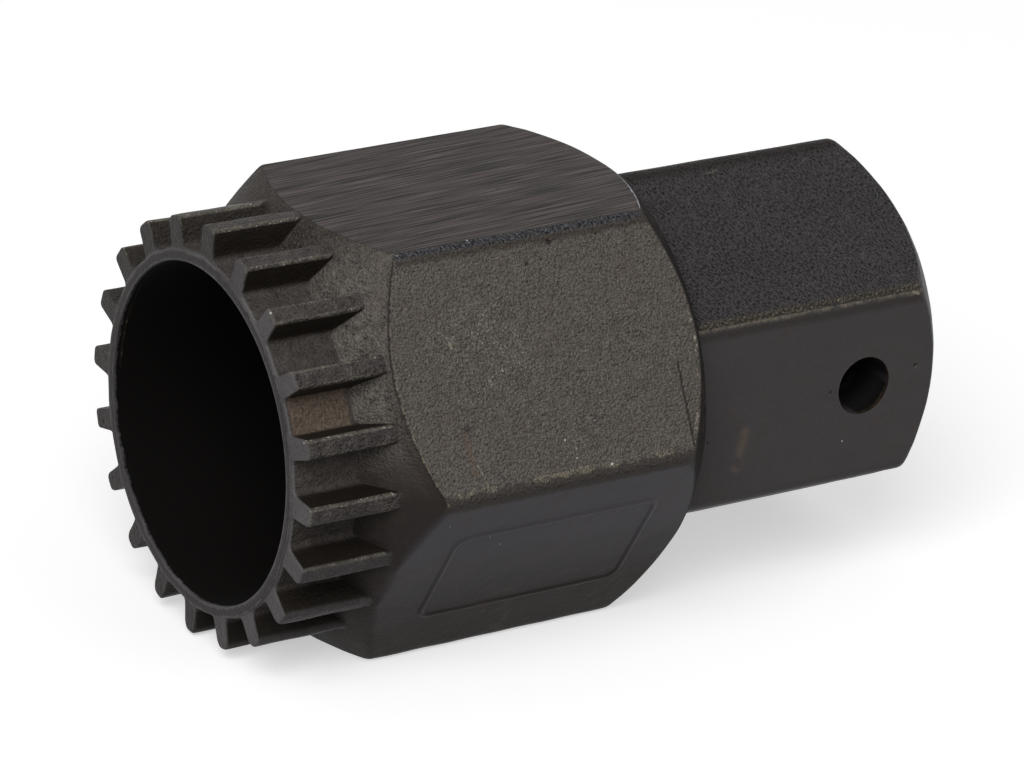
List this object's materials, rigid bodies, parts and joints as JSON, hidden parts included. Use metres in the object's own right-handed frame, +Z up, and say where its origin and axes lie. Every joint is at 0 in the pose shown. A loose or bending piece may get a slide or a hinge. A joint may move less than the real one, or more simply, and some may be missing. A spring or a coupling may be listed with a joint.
{
  "type": "bottom bracket tool",
  "caption": "Cast steel socket with an externally splined hollow crown at one end, a large hexagon for a spanner, and a smaller hexagon with a square drive socket at the other.",
  "frame": {"origin": "on the floor, under the middle of the tool's bounding box", "axes": "+X along the tool's axis, from the splined crown towards the square drive socket; +Z up, away from the flat that the tool lies on"},
  "size_m": [0.056, 0.0366, 0.0318],
  "materials": {
    "blackened_steel": "cast surface with a dull black oxide, worn lighter at the edges; the upper flat of the large hexagon is ground"
  },
  "bodies": {
    "root": {"tool_body": "blackened_steel"}
  },
  "joints": []
}
